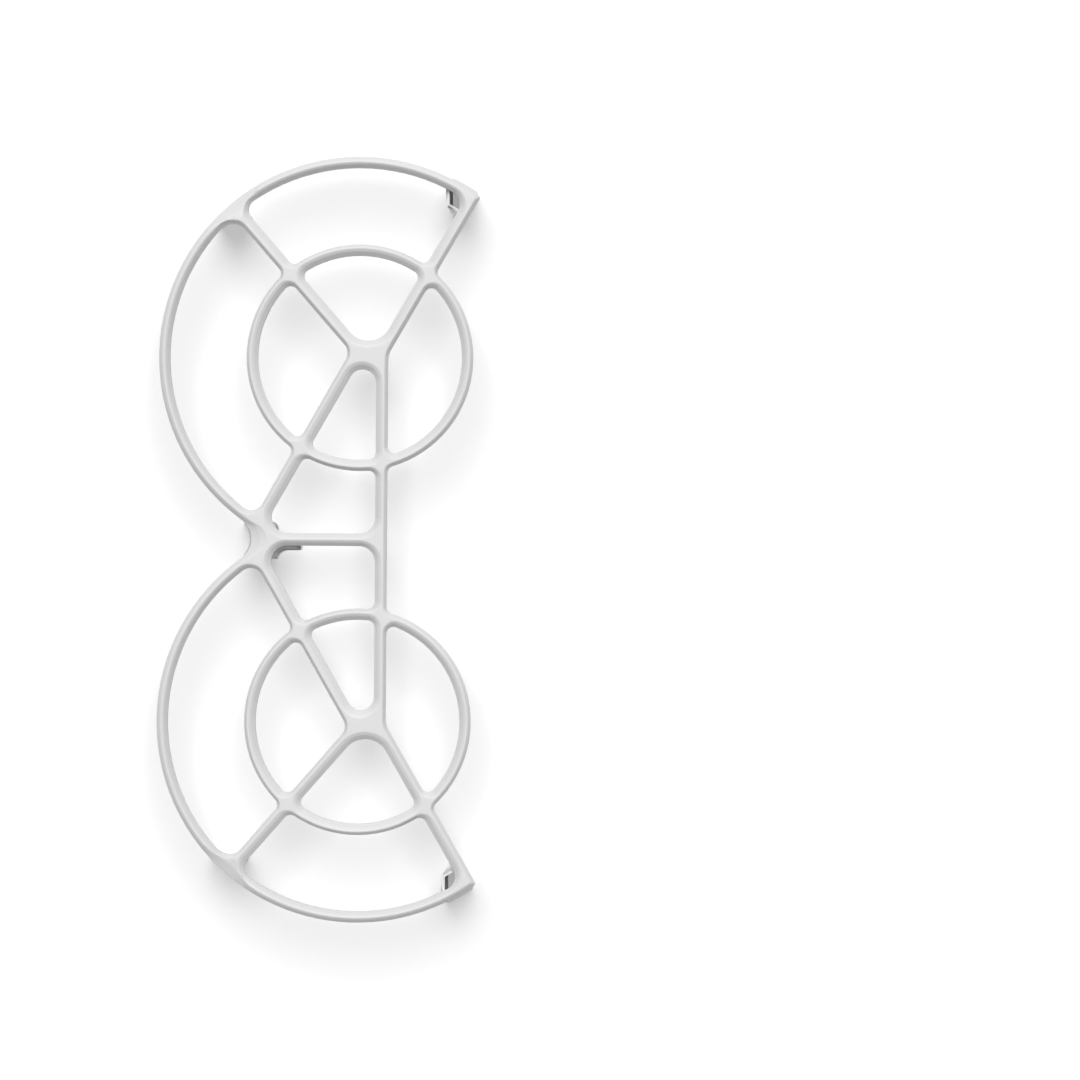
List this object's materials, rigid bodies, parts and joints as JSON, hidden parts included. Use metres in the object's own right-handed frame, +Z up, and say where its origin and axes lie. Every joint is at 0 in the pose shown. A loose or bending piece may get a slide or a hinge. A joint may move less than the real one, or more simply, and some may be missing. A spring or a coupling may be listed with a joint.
{
  "type": "propeller guard",
  "caption": "Half-round propeller guard for two rotors in a row, with rims, rings and spokes on splayed clip legs.",
  "frame": {"origin": "centre of the frame's outline, level with the feet", "axes": "+Y along the pair of rotors towards the front, +Z up, +X towards the drone's body"},
  "size_m": [0.1106, 0.265, 0.025],
  "materials": {
    "shell": "light grey moulded plastic with a fine even texture, satin to matte"
  },
  "bodies": {
    "root": {"guard_frame": "shell"}
  },
  "joints": []
}
